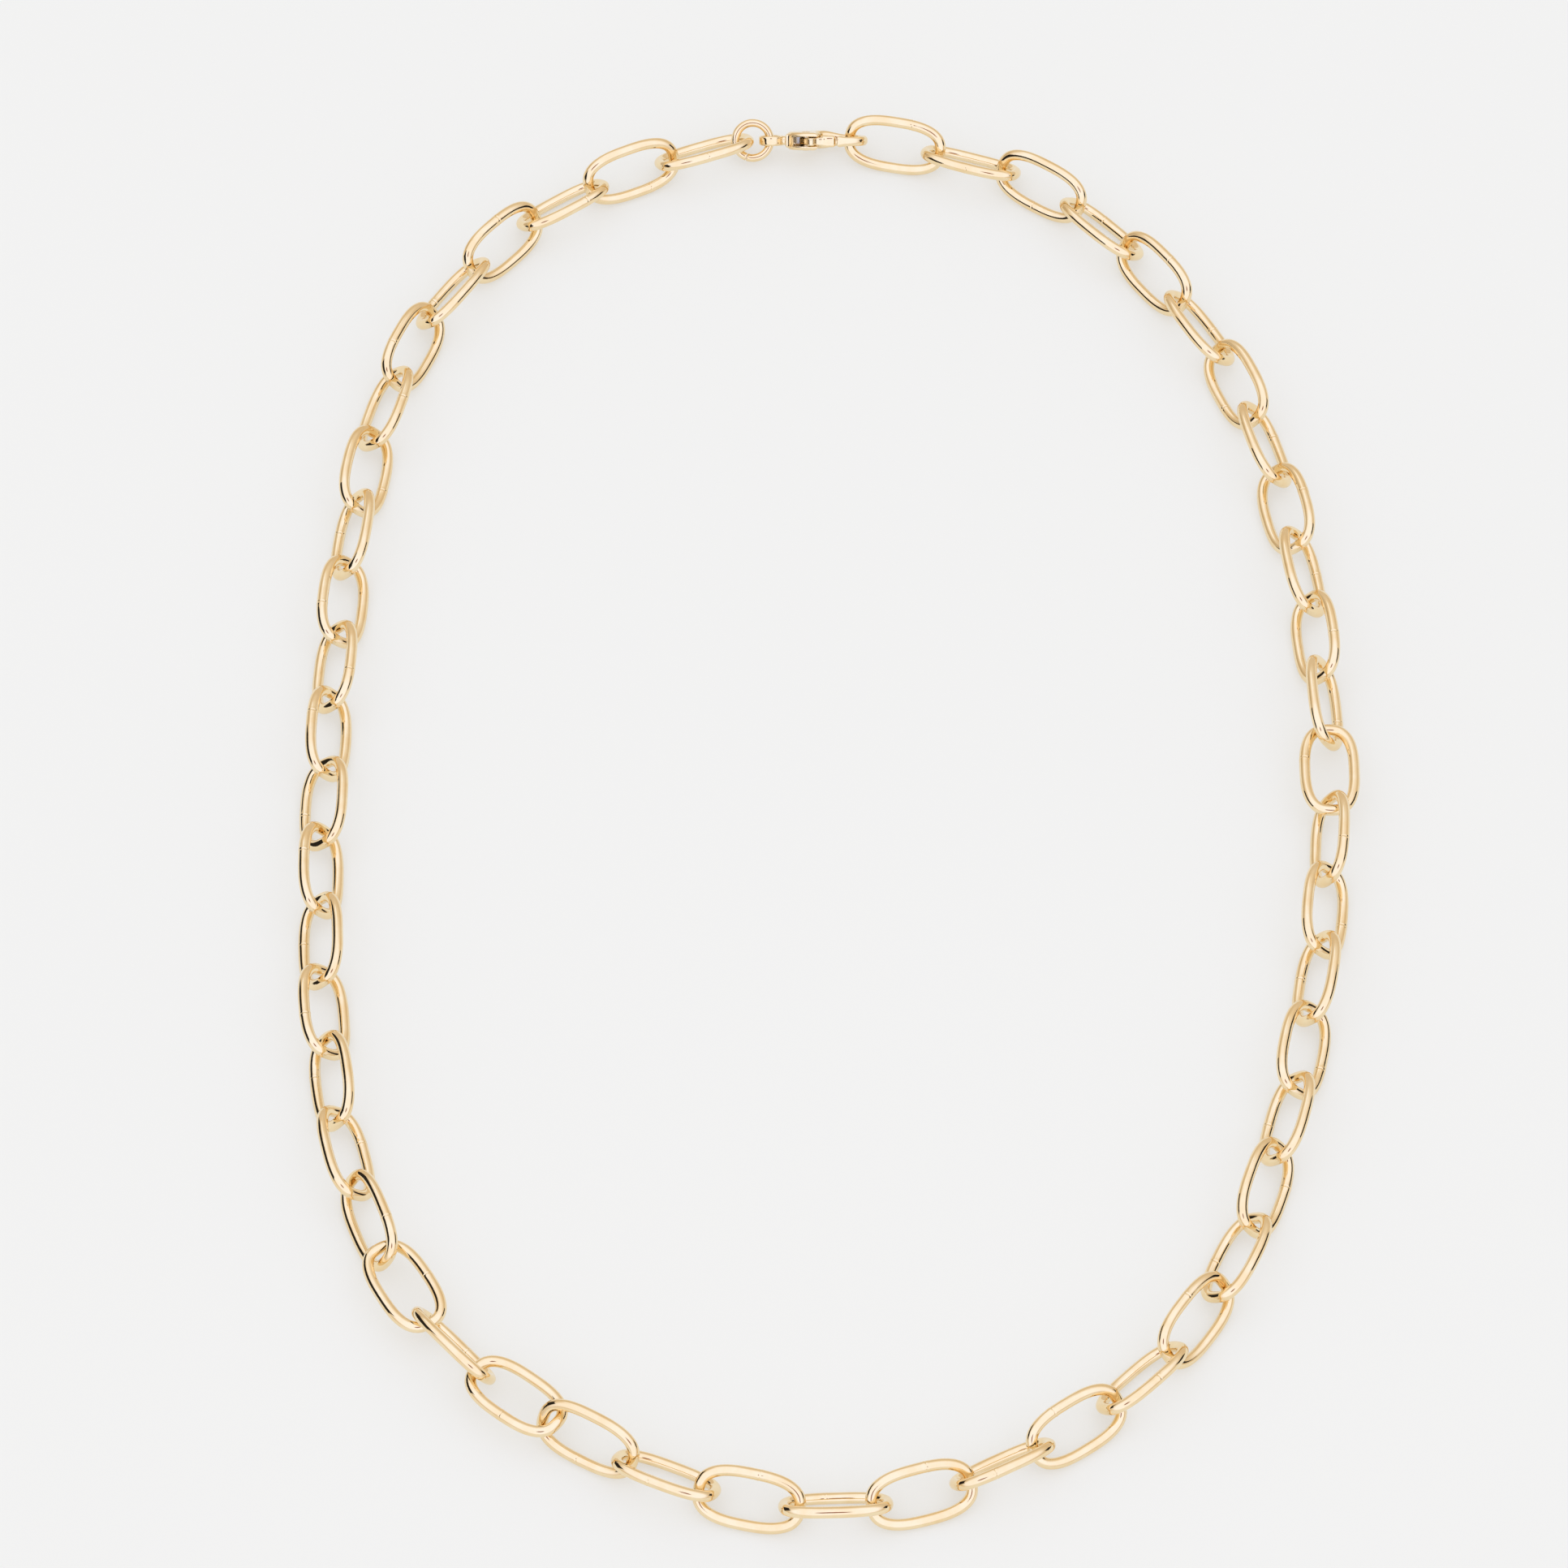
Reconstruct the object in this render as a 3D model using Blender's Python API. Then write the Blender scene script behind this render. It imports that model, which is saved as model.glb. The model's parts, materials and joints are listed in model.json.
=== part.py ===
"""Chain necklace with a lobster clasp, lying closed on a flat surface.

51 oval cable links, one jump ring and a lobster clasp (body, lever, pivot pin and leaf spring).
Run with: blender --background --python part.py. Lengths below are in millimetres.
"""

import math

import bmesh
import bpy
from mathutils import Matrix, Vector

MM = 0.001

# Chain: an oval cable link of round wire
LINK_COUNT = 51
LINK_LENGTH = 11.5
LINK_WIDTH = 6.4
LINK_WIRE = 1.2
LINK_SQUARENESS = 2.7
LINK_STEPS = 16
WIRE_SIDES = 8

# How the links lean: neighbours lean 45 degrees to opposite sides, with a little hand-laid variety.
# Beside the clasp steep links take turns with flatter ones. Links 20, 22 and 39 lie flat, held up by
# steep neighbours, and link 21 leans the other way.
LEAN = 45.0
LEAN_VARIETY = 6.0
ROOT_LINK = 26
SPECIAL_LEAN = {
    1: 38.0,
    2: 60.0,
    3: 38.0,
    4: 57.0,
    5: 46.0,
    19: 56.0,
    20: 0.0,
    21: -62.0,
    22: 0.0,
    23: 56.0,
    25: 36.0,
    27: 36.0,
    37: 44.0,
    38: 58.0,
    39: 0.0,
    40: 58.0,
    41: 48.0,
    46: 44.0,
    47: 56.0,
    48: 40.0,
    49: 58.0,
    50: 38.0,
    51: 52.0,
}
LEAN_FLIPS_AFTER = 39
LYING_LEAN = 20.0
LYING_LINK_HEIGHT = 2.9

# The line that the chain follows, from the jump ring round to the clasp's hook, seen from above
GUIDE_POINTS = (
    (-4.8, 85.7),
    (-29.7, 72.6),
    (-45.0, 42.0),
    (-48.0, -26.5),
    (-36.5, -67.0),
    (-5.5, -87.7),
    (22.1, -84.2),
    (45.9, -60.3),
    (57.5, -7.0),
    (51.5, 46.0),
    (31.5, 77.0),
    (8.1, 85.72),
)
END_HANDLE = 10.0

# Jump ring
RING_DIAMETER = 4.8
RING_WIRE = 0.9
RING_LEAN = 38.0
RING_CENTRE_X = -3.5

# Lobster clasp, in its own frame: u runs from the eye to the nose, v towards the lever, w through the plate
CLASP_LEAN = 47.0
CLASP_EYE_X = -1.45
CLASP_HEIGHT = 2.4
CLASP_THICKNESS = 2.0
HOOK_THICKNESS = 1.1
TAPER_FROM = 5.6
TAPER_TO = 8.6
EYE_RADIUS = 1.35
EYE_HOLE = 0.86
EYE_THICKNESS = 1.1
NECK_WIDTH = 1.1
NECK_THICKNESS = 0.84
BODY_REAR = 1.8
BODY_NOSE = 10.8
BODY_HALF_WIDTH = 2.3
BODY_SQUARENESS = 2.3
WINDOW_REAR = 5.3
WINDOW_FRONT = 9.8
WINDOW_HALF_WIDTH = 1.42
GATE_FRONT = 7.35
SLOT_REAR = 2.5
SLOT_FLOOR = -0.75
SLOT_WIDTH = 1.1
PIN_U = 3.9
PIN_V = 0.75
PIN_RADIUS = 0.35
PIN_HOLE = 0.42
PIN_LENGTH = 1.96
LEVER_THICKNESS = 0.84
LEVER_ARM_THICKNESS = 1.3
LEVER_TIP = 7.2
SPRING_STRIP = 0.14
SPRING_WIDTH = 0.7
CUTTER_REACH = 3.0

GOLD = (0.83, 0.64, 0.36, 1.0)
PALE_GOLD = (0.86, 0.69, 0.42, 1.0)
SPRING_STEEL = (0.55, 0.55, 0.56, 1.0)


# Scene and materials


def clear_scene():
    for obj in list(bpy.data.objects):
        bpy.data.objects.remove(obj, do_unlink=True)


def material(name, colour, roughness):
    made = bpy.data.materials.new(name)
    made.use_nodes = True
    shader = made.node_tree.nodes["Principled BSDF"]
    shader.inputs["Base Color"].default_value = colour
    shader.inputs["Metallic"].default_value = 1.0
    shader.inputs["Roughness"].default_value = roughness
    made.diffuse_color = colour
    return made


def add_object(name, mesh, finish, matrix):
    """A node at matrix, whose mesh was made in millimetres about its own origin."""
    mesh.transform(Matrix.Scale(MM, 4))
    mesh.materials.clear()
    mesh.materials.append(finish)
    obj = bpy.data.objects.new(name, mesh)
    obj.matrix_world = matrix
    bpy.context.scene.collection.objects.link(obj)
    return obj


# Swept wire


def superellipse(half_length, half_width, squareness, steps):
    """A closed oval with a short straight run across each end and along each side."""
    points = []
    for i in range(steps):
        angle = 2 * math.pi * (i + 0.5) / steps
        c, s = math.cos(angle), math.sin(angle)
        x = half_length * math.copysign(abs(c) ** (2 / squareness), c)
        y = half_width * math.copysign(abs(s) ** (2 / squareness), s)
        points.append(Vector((x, y, 0.0)))
    return points


def section_radius(diameter, sides):
    """The corner radius of a polygon with the same area as the round wire."""
    area = math.pi * diameter * diameter / 4
    return math.sqrt(2 * area / (sides * math.sin(2 * math.pi / sides)))


def ring_of_wire(name, path, diameter, sides=WIRE_SIDES):
    """Wire swept round a closed flat path, with mitred corners. Its faces point in steps of 45 degrees."""
    radius = section_radius(diameter, sides)
    mesh = bpy.data.meshes.new(name)
    body = bmesh.new()
    rows = []
    count = len(path)
    for i, point in enumerate(path):
        before = (point - path[i - 1]).normalized()
        after = (path[(i + 1) % count] - point).normalized()
        along = (before + after).normalized()
        outward = Vector((along.y, -along.x, 0.0))
        stretch = 1 / max(along.dot(after), 0.5)
        row = []
        for j in range(sides):
            angle = 2 * math.pi * (j + 0.5) / sides
            offset = outward * (math.cos(angle) * radius * stretch)
            offset += Vector((0.0, 0.0, math.sin(angle) * radius))
            row.append(body.verts.new(point + offset))
        rows.append(row)
    for i in range(count):
        here, there = rows[i], rows[(i + 1) % count]
        for j in range(sides):
            k = (j + 1) % sides
            body.faces.new((here[j], there[j], there[k], here[k]))
    bmesh.ops.recalc_face_normals(body, faces=body.faces)
    for face in body.faces:
        face.smooth = True
    body.to_mesh(mesh)
    body.free()
    return mesh


# Plates and pins of the clasp


def slab(outline, low, high, chamfer=0.0):
    """A flat plate with the outline given as (u, v) pairs, from w = low to w = high."""
    mesh = bpy.data.meshes.new("slab")
    body = bmesh.new()
    centre = sum((Vector(p) for p in outline), Vector((0.0, 0.0))) / len(outline)
    levels = [(low, 0.0), (high, 0.0)]
    if chamfer:
        levels = [(low, chamfer), (low + chamfer, 0.0), (high - chamfer, 0.0), (high, chamfer)]
    rows = []
    for w, inset in levels:
        row = []
        for p in outline:
            arm = Vector(p) - centre
            spot = centre + arm * max(0.05, 1 - inset / max(arm.length, 1e-6))
            row.append(body.verts.new((spot.x, spot.y, w)))
        rows.append(row)
    count = len(outline)
    for here, there in zip(rows, rows[1:]):
        for i in range(count):
            k = (i + 1) % count
            body.faces.new((here[i], here[k], there[k], there[i]))
    body.faces.new(list(reversed(rows[0])))
    body.faces.new(rows[-1])
    bmesh.ops.recalc_face_normals(body, faces=body.faces)
    body.to_mesh(mesh)
    body.free()
    return mesh


def cutter(outline):
    """A plate thick enough to cut right through the clasp."""
    return slab(outline, -CUTTER_REACH, CUTTER_REACH)


def circle(u, v, radius, sides=16):
    turn = 2 * math.pi / sides
    return [
        (u + radius * math.cos((i + 0.5) * turn), v + radius * math.sin((i + 0.5) * turn))
        for i in range(sides)
    ]


def oval(rear, front, half_width, squareness, sides):
    middle = (rear + front) / 2
    return [
        (middle + p.x, p.y)
        for p in superellipse((front - rear) / 2, half_width, squareness, sides)
    ]


def combine(base, operations):
    """Applies (UNION or DIFFERENCE, mesh) pairs to the base mesh, in order."""
    helpers = []
    target = bpy.data.objects.new("target", base)
    bpy.context.scene.collection.objects.link(target)
    for kind, mesh in operations:
        helper = bpy.data.objects.new("helper", mesh)
        bpy.context.scene.collection.objects.link(helper)
        modifier = target.modifiers.new("cut", "BOOLEAN")
        modifier.operation = kind
        modifier.solver = "EXACT"
        modifier.object = helper
        helpers.append(helper)
    bpy.context.view_layer.update()
    graph = bpy.context.evaluated_depsgraph_get()
    result = bpy.data.meshes.new_from_object(target.evaluated_get(graph))
    for obj in [target, *helpers]:
        bpy.data.objects.remove(obj, do_unlink=True)
    return result


def tidy(mesh, merge=0.002):
    """Merges what the cuts left nearly coincident, and makes every face a triangle facing out."""
    body = bmesh.new()
    body.from_mesh(mesh)
    bmesh.ops.remove_doubles(body, verts=body.verts, dist=merge)
    bmesh.ops.dissolve_limit(
        body, angle_limit=math.radians(0.5), verts=body.verts, edges=body.edges
    )
    bmesh.ops.triangulate(body, faces=body.faces)
    bmesh.ops.recalc_face_normals(body, faces=body.faces)
    body.to_mesh(mesh)
    body.free()
    return mesh


def taper(mesh):
    """Thins the plate smoothly towards the nose, so that a link can swing on the hook."""
    body = bmesh.new()
    body.from_mesh(mesh)
    for share in (0.0, 0.5, 1.0):
        cut = (TAPER_FROM + share * (TAPER_TO - TAPER_FROM), 0.0, 0.0)
        everything = [*body.verts, *body.edges, *body.faces]
        bmesh.ops.bisect_plane(body, geom=everything, plane_co=cut, plane_no=(1.0, 0.0, 0.0))
    bmesh.ops.triangulate(body, faces=body.faces)
    for vertex in body.verts:
        share = (vertex.co.x - TAPER_FROM) / (TAPER_TO - TAPER_FROM)
        share = min(max(share, 0.0), 1.0)
        vertex.co.z *= 1 - share * (1 - HOOK_THICKNESS / CLASP_THICKNESS)
    body.to_mesh(mesh)
    body.free()
    return mesh


def clasp_body_mesh():
    half = CLASP_THICKNESS / 2
    outline = oval(BODY_REAR, BODY_NOSE, BODY_HALF_WIDTH, BODY_SQUARENESS, 28)
    window = oval(WINDOW_REAR, WINDOW_FRONT, WINDOW_HALF_WIDTH, 3.2, 16)
    eye = slab(circle(0.0, 0.0, EYE_RADIUS), -EYE_THICKNESS / 2, EYE_THICKNESS / 2, 0.2)
    neck = (
        (0.9, -NECK_WIDTH / 2),
        (BODY_REAR + 1.0, -NECK_WIDTH / 2),
        (BODY_REAR + 1.0, NECK_WIDTH / 2),
        (0.9, NECK_WIDTH / 2),
    )
    gate = (
        (WINDOW_REAR - 0.1, 0.0),
        (GATE_FRONT, 0.0),
        (GATE_FRONT, 4.0),
        (WINDOW_REAR - 0.1, 4.0),
    )
    slot = (
        (SLOT_REAR, SLOT_FLOOR),
        (WINDOW_REAR + 0.6, SLOT_FLOOR),
        (WINDOW_REAR + 0.6, 4.0),
        (SLOT_REAR, 4.0),
    )
    cut = combine(
        slab(outline, -half, half, 0.45),
        [
            ("UNION", slab(neck, -NECK_THICKNESS / 2, NECK_THICKNESS / 2)),
            ("UNION", eye),
            ("DIFFERENCE", cutter(circle(0.0, 0.0, EYE_HOLE, 14))),
            ("DIFFERENCE", cutter(window)),
            ("DIFFERENCE", cutter(gate)),
            ("DIFFERENCE", slab(slot, -SLOT_WIDTH / 2, SLOT_WIDTH / 2)),
            ("DIFFERENCE", cutter(circle(PIN_U, PIN_V, PIN_HOLE, 14))),
        ],
    )
    return taper(tidy(cut))


def clasp_lever_mesh():
    """The gate: a hub in the slot, a thumb rib behind the gap and a thicker arm out to the hook's tip."""
    hub = (
        (3.15, 0.2),
        (3.45, -0.05),
        (4.3, -0.05),
        (5.4, 0.75),
        (6.2, 1.35),
        (6.2, 1.95),
        (5.1, 2.5),
        (4.6, 2.75),
        (4.1, 2.65),
        (3.5, 1.7),
        (3.1, 1.1),
    )
    arm = (
        (5.55, 1.15),
        (LEVER_TIP - 0.35, 1.25),
        (LEVER_TIP, 1.45),
        (LEVER_TIP, 1.8),
        (LEVER_TIP - 0.3, 1.98),
        (5.55, 2.05),
    )
    half, arm_half = LEVER_THICKNESS / 2, LEVER_ARM_THICKNESS / 2
    return tidy(
        combine(
            slab(hub, -half, half, 0.08),
            [
                ("UNION", slab(arm, -arm_half, arm_half, 0.15)),
                ("DIFFERENCE", cutter(circle(PIN_U, PIN_V, PIN_HOLE, 14))),
            ],
        )
    )


def clasp_spring_mesh():
    """A leaf bent into a V: it lies on the slot's floor and its upper leg bears on the lever's heel."""
    half = SPRING_STRIP / 2
    run = ((5.1, -0.6), (2.8, -0.6), (2.68, -0.48), (2.8, -0.36), (4.4, -0.24))
    points = [Vector(p) for p in run]
    left, right = [], []
    for i, p in enumerate(points):
        before = (p - points[max(i - 1, 0)]).normalized()
        after = (points[min(i + 1, len(points) - 1)] - p).normalized()
        along = (before + after).normalized()
        side = Vector((-along.y, along.x))
        if along.dot(after) > 0.1 and i < len(points) - 1:
            side /= max(along.dot(after), 0.6)
        left.append(tuple(p + side * half))
        right.append(tuple(p - side * half))
    return slab(left + list(reversed(right)), -SPRING_WIDTH / 2, SPRING_WIDTH / 2)


# The chain's line and each piece's place on it


def chain_line(steps=24):
    """Points of one smooth curve through the guide points, leaving both ends along X."""
    ends = Vector((END_HANDLE, 0.0))
    knots = [Vector(p) for p in GUIDE_POINTS]
    knots = [knots[0] + ends, *knots, knots[-1] - ends]
    line = []
    for a, b, c, d in zip(knots, knots[1:], knots[2:], knots[3:]):
        for i in range(steps):
            t = i / steps
            line.append(
                0.5
                * (
                    2 * b
                    + (c - a) * t
                    + (2 * a - 5 * b + 4 * c - d) * t**2
                    + (3 * b - a - 3 * c + d) * t**3
                )
            )
    return line + [knots[-2]]


def even_points(line, count):
    """count + 1 points at equal distances along the line: the places where pieces hook into each other."""
    reach = [0.0]
    for a, b in zip(line, line[1:]):
        reach.append(reach[-1] + (b - a).length)
    points, i = [], 0
    for n in range(count + 1):
        wanted = reach[-1] * n / count
        while i < len(line) - 2 and reach[i + 1] < wanted:
            i += 1
        share = (wanted - reach[i]) / (reach[i + 1] - reach[i])
        points.append(line[i].lerp(line[i + 1], share))
    return points


def link_lean(number):
    """Degrees from flat: plus when the link's outer side is down, minus when its inner side is."""
    side = 1 if (number % 2 == 1) == (number <= LEAN_FLIPS_AFTER) else -1
    if number in SPECIAL_LEAN:
        return side * SPECIAL_LEAN[number]
    if number == ROOT_LINK:
        return side * LEAN
    return side * (LEAN + LEAN_VARIETY * math.sin(2.3 * number))


def leaning_frame(along, lean, centre):
    """x along the chain, y across the piece's plane, tipped up by lean degrees from the loop's inside."""
    inside = Vector((-along.y, along.x, 0.0))
    tip = math.radians(lean)
    across = inside * math.cos(tip) + Vector((0.0, 0.0, math.sin(tip)))
    matrix = Matrix((along, across, along.cross(across))).transposed().to_4x4()
    matrix.translation = centre
    return matrix


def resting_height(lean):
    """The height of a leaning link's centre when its lower side lies on the surface."""
    if abs(lean) < LYING_LEAN:
        return LYING_LINK_HEIGHT
    lowest = math.sin(math.radians(abs(lean))) * (LINK_WIDTH - LINK_WIRE) / 2
    facet = math.pi / WIRE_SIDES
    turned = math.radians(abs(lean)) % (2 * facet)
    return lowest + section_radius(LINK_WIRE, WIRE_SIDES) * math.cos(turned - facet)


def move_pivot(obj, spot):
    """Puts the object's origin at spot without moving its mesh."""
    shift = obj.matrix_world.inverted() @ spot
    obj.data.transform(Matrix.Translation(-shift))
    obj.matrix_world = obj.matrix_world @ Matrix.Translation(shift)


# The pieces


def build_links(gold, joints):
    path = superellipse(
        (LINK_LENGTH - LINK_WIRE) / 2, (LINK_WIDTH - LINK_WIRE) / 2, LINK_SQUARENESS, LINK_STEPS
    )
    for number in range(1, LINK_COUNT + 1):
        here, there = joints[number - 1], joints[number]
        lean = link_lean(number)
        centre = ((here + there) / 2).to_3d() + Vector((0.0, 0.0, resting_height(lean)))
        along = (there - here).normalized().to_3d()
        name = f"link_{number:02d}"
        matrix = leaning_frame(along, lean, centre * MM)
        obj = add_object(name, ring_of_wire(name, path, LINK_WIRE), gold, matrix)
        toward_root = here if number > ROOT_LINK else there
        pivot = Vector((toward_root.x, toward_root.y, centre.z)) * MM
        if number != ROOT_LINK:
            move_pivot(obj, pivot)


def build_jump_ring(gold, joints):
    radius = (RING_DIAMETER - RING_WIRE) / 2
    path = superellipse(radius, radius, 2.0, LINK_STEPS)
    centre = Vector((RING_CENTRE_X, joints[0].y, CLASP_HEIGHT))
    matrix = leaning_frame(Vector((-1.0, 0.0, 0.0)), -RING_LEAN, centre * MM)
    ring = add_object("jump_ring", ring_of_wire("jump_ring", path, RING_WIRE), gold, matrix)
    move_pivot(ring, Vector((joints[0].x, joints[0].y, centre.z)) * MM)


def clasp_frame(joints):
    """The clasp's own frame: u along +X, v up towards the loop's inside, w = u x v."""
    tip = math.radians(CLASP_LEAN)
    u = Vector((1.0, 0.0, 0.0))
    v = Vector((0.0, -math.cos(tip), math.sin(tip)))
    matrix = Matrix((u, v, u.cross(v))).transposed().to_4x4()
    matrix.translation = Vector((CLASP_EYE_X, joints[0].y, CLASP_HEIGHT)) * MM
    return matrix


def build_clasp(gold, pale, steel, joints):
    frame = clasp_frame(joints)
    pin_mesh = slab(circle(PIN_U, PIN_V, PIN_RADIUS, 14), -PIN_LENGTH / 2, PIN_LENGTH / 2, 0.08)
    add_object("clasp_body", clasp_body_mesh(), gold, frame)
    add_object("clasp_pin", tidy(pin_mesh), pale, frame)
    add_object("clasp_spring", tidy(clasp_spring_mesh()), steel, frame)
    lever = add_object("clasp_lever", clasp_lever_mesh(), gold, frame)
    move_pivot(lever, frame @ (Vector((PIN_U, PIN_V, 0.0)) * MM))


def stand_on_origin():
    """Moves everything so that the origin is under the middle of the necklace, on the surface."""
    bpy.context.view_layer.update()
    corners = []
    for obj in bpy.context.scene.objects:
        corners += [obj.matrix_world @ vertex.co for vertex in obj.data.vertices]
    low = Vector([min(c[i] for c in corners) for i in range(3)])
    high = Vector([max(c[i] for c in corners) for i in range(3)])
    shift = Vector((-(low.x + high.x) / 2, -(low.y + high.y) / 2, -low.z))
    for obj in bpy.context.scene.objects:
        obj.matrix_world = Matrix.Translation(shift) @ obj.matrix_world


def main():
    clear_scene()
    gold = material("gold_plate", GOLD, 0.12)
    pale = material("pin_gold", PALE_GOLD, 0.2)
    steel = material("spring_steel", SPRING_STEEL, 0.3)
    joints = even_points(chain_line(), LINK_COUNT)
    build_links(gold, joints)
    build_jump_ring(gold, joints)
    build_clasp(gold, pale, steel, joints)
    stand_on_origin()


main()
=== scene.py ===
"""Looks of the chain necklace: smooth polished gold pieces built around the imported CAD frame.

Every CAD node is replaced by a finer piece of the same shape, size and place. The links and the
jump ring are swept round wire, and the clasp's castings are surfaces of a distance field. Lengths
are in millimetres, except for the camera and the studio, where they are in metres.
"""

import json
import math
import random

import bmesh
import bpy
import numpy as np
from mathutils import Matrix, Vector


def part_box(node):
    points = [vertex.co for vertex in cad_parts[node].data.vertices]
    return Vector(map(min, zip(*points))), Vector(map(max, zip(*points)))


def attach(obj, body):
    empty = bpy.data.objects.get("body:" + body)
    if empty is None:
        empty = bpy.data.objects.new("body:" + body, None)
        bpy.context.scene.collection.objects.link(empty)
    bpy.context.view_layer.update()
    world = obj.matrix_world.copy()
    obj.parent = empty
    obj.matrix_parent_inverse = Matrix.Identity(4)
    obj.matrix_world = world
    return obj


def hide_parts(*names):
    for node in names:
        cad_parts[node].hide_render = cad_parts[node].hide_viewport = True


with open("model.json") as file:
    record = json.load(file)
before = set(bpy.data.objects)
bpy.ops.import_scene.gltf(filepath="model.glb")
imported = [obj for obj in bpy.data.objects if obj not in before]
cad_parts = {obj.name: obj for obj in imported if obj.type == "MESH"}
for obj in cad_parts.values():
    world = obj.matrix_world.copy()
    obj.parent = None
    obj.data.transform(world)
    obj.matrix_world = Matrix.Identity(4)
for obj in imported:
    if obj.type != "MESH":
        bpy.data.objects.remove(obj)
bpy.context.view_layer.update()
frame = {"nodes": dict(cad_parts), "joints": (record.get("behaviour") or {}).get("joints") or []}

MM = 0.001
SEED = 26

# Chain link: an oval of round wire. No two are quite alike: one end is wider than the middle by up
# to the share LINK_WEDGE, and the ends lie above or below it by up to LINK_BOW
LINK_LENGTH = 11.5
LINK_WIDTH = 6.4
LINK_WIRE = 1.19
LINK_SQUARENESS = 2.7
LINK_STEPS = 76
LINK_WEDGE = 0.012
LINK_BOW = 0.05
WIRE_SIDES = 20

# Solder seam: on a long side, at a place given as a share of the oval. The wire swells beside it,
# dips at it, and its two ends meet with a small step
SEAM_PLACES = (0.25, 0.75)
SEAM_SPREAD = 0.07
SEAM_STEPS = 11
SEAM_REACH = 0.45
SEAM_SWELL = 0.022
SEAM_SWELL_REACH = 0.22
SEAM_GROOVE = 0.03
SEAM_GROOVE_REACH = 0.05
SEAM_STEP = 0.012
SEAM_STEP_REACH = 0.3
SEAM_STEP_EDGE = 0.04

# Jump ring: round wire cut once, its ends pressed together. An end's rounding is a list of
# (distance from the end, share of the wire's radius)
RING_DIAMETER = 4.8
RING_WIRE = 0.9
RING_STEPS = 72
RING_GAP = 0.05
RING_CUT = math.radians(250)
RING_END = ((0.0, 0.86), (0.02, 0.95), (0.05, 1.0))

# Lobster clasp, in its own frame: u runs from the eye to the nose, v towards the lever, and w
# through the plate. Neck and collar are rectangles in plan, ((low u, low v), (high u, high v)), and
# a grid is the box in which a casting's surface is looked for
BODY_REAR = 1.8
BODY_NOSE = 10.8
BODY_HALF_WIDTH = 2.3
BODY_HALF_THICKNESS = 1.0
BODY_SQUARENESS = 2.3
BODY_ROUNDING = 0.46
HOOK_HALF_THICKNESS = 0.55
TAPER_FROM = 5.6
TAPER_TO = 8.6
WINDOW_REAR = 5.3
WINDOW_FRONT = 9.8
WINDOW_HALF_WIDTH = 1.42
WINDOW_SQUARENESS = 3.2
GATE_FRONT = 7.35
SLOT_REAR = 2.5
SLOT_FLOOR = -0.75
SLOT_HALF_WIDTH = 0.55
NECK = ((0.9, -0.55), (2.8, 0.55))
NECK_HALF_THICKNESS = 0.5
COLLAR = ((1.62, -0.8), (1.98, 0.8))
COLLAR_HALF_THICKNESS = 0.72
EYE_WIRE_RADIUS = 1.1
EYE_WIRE_HALF = 0.25
EYE_HALF_THICKNESS = 0.55
PIN_U = 3.9
PIN_V = 0.75
PIN_HOLE = 0.42
PIN_RADIUS = 0.35
PIN_HEAD_RADIUS = 0.5
PIN_DOME = 0.09
BODY_GRID = ((-1.8, -2.8, -1.35), (11.3, 2.8, 1.35))
FIELD_CELL = 0.085

# Lever: hub, thumb tab, root of the arm and arm are bars with round ends in plan, each (start, end,
# radius at the start, radius at the end)
LEVER_BARS = (
    ((PIN_U, PIN_V), (4.35, 1.35), 0.72, 0.8),
    ((4.35, 1.35), (4.45, 2.3), 0.62, 0.42),
    ((4.7, 1.45), (5.9, 1.6), 0.55, 0.42),
    ((5.95, 1.58), (6.84, 1.62), 0.42, 0.36),
)
LEVER_HALF_THICKNESS = 0.42
ARM_HALF_THICKNESS = 0.65
LEVER_GRID = ((2.9, -0.4, -0.9), (7.6, 3.1, 0.9))

# Leaf spring: a foot on the slot's floor, a bend, and a blade up to the lever's heel
SPRING_FOOT = ((5.1, -0.6), (2.9, -0.6))
SPRING_BEND = (2.86, -0.48)
SPRING_BEND_RADIUS = 0.12
SPRING_BLADE = ((3.05, -0.348), (4.4, -0.24))
SPRING_HALF_STRIP = 0.07
SPRING_HALF_WIDTH = 0.35

# Finishes: (light colour, deep colour, roughness)
WIRE_GOLD = ((0.95, 0.78, 0.505, 1.0), (0.92, 0.71, 0.41, 1.0), 0.035)
CAST_GOLD = ((0.95, 0.78, 0.505, 1.0), (0.92, 0.71, 0.41, 1.0), 0.06)
PIN_GOLD = ((0.945, 0.80, 0.58, 1.0), (0.92, 0.75, 0.50, 1.0), 0.16)
STEEL = ((0.62, 0.62, 0.63, 1.0), (0.42, 0.42, 0.43, 1.0), (0.22, 0.38))

# Camera: azimuth 0 looks along +Y
CAMERA_TARGET = Vector((-4.83, 1.74, 0.0)) * MM
CAMERA_DISTANCE = 0.85
CAMERA_ELEVATION = 55.4
CAMERA_FIELD = 11.16

# Floor: a table lit partly from below
FLOOR_SIZE = 8.0
FLOOR_TONES = ((0.46, 0.46, 0.46, 1.0), (0.47, 0.47, 0.47, 1.0))
FLOOR_ROUGHNESS = 0.62
FLOOR_GLOW = (1.0, 0.996, 0.957, 1.0)
FLOOR_GLOW_STRENGTH = 0.435

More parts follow.
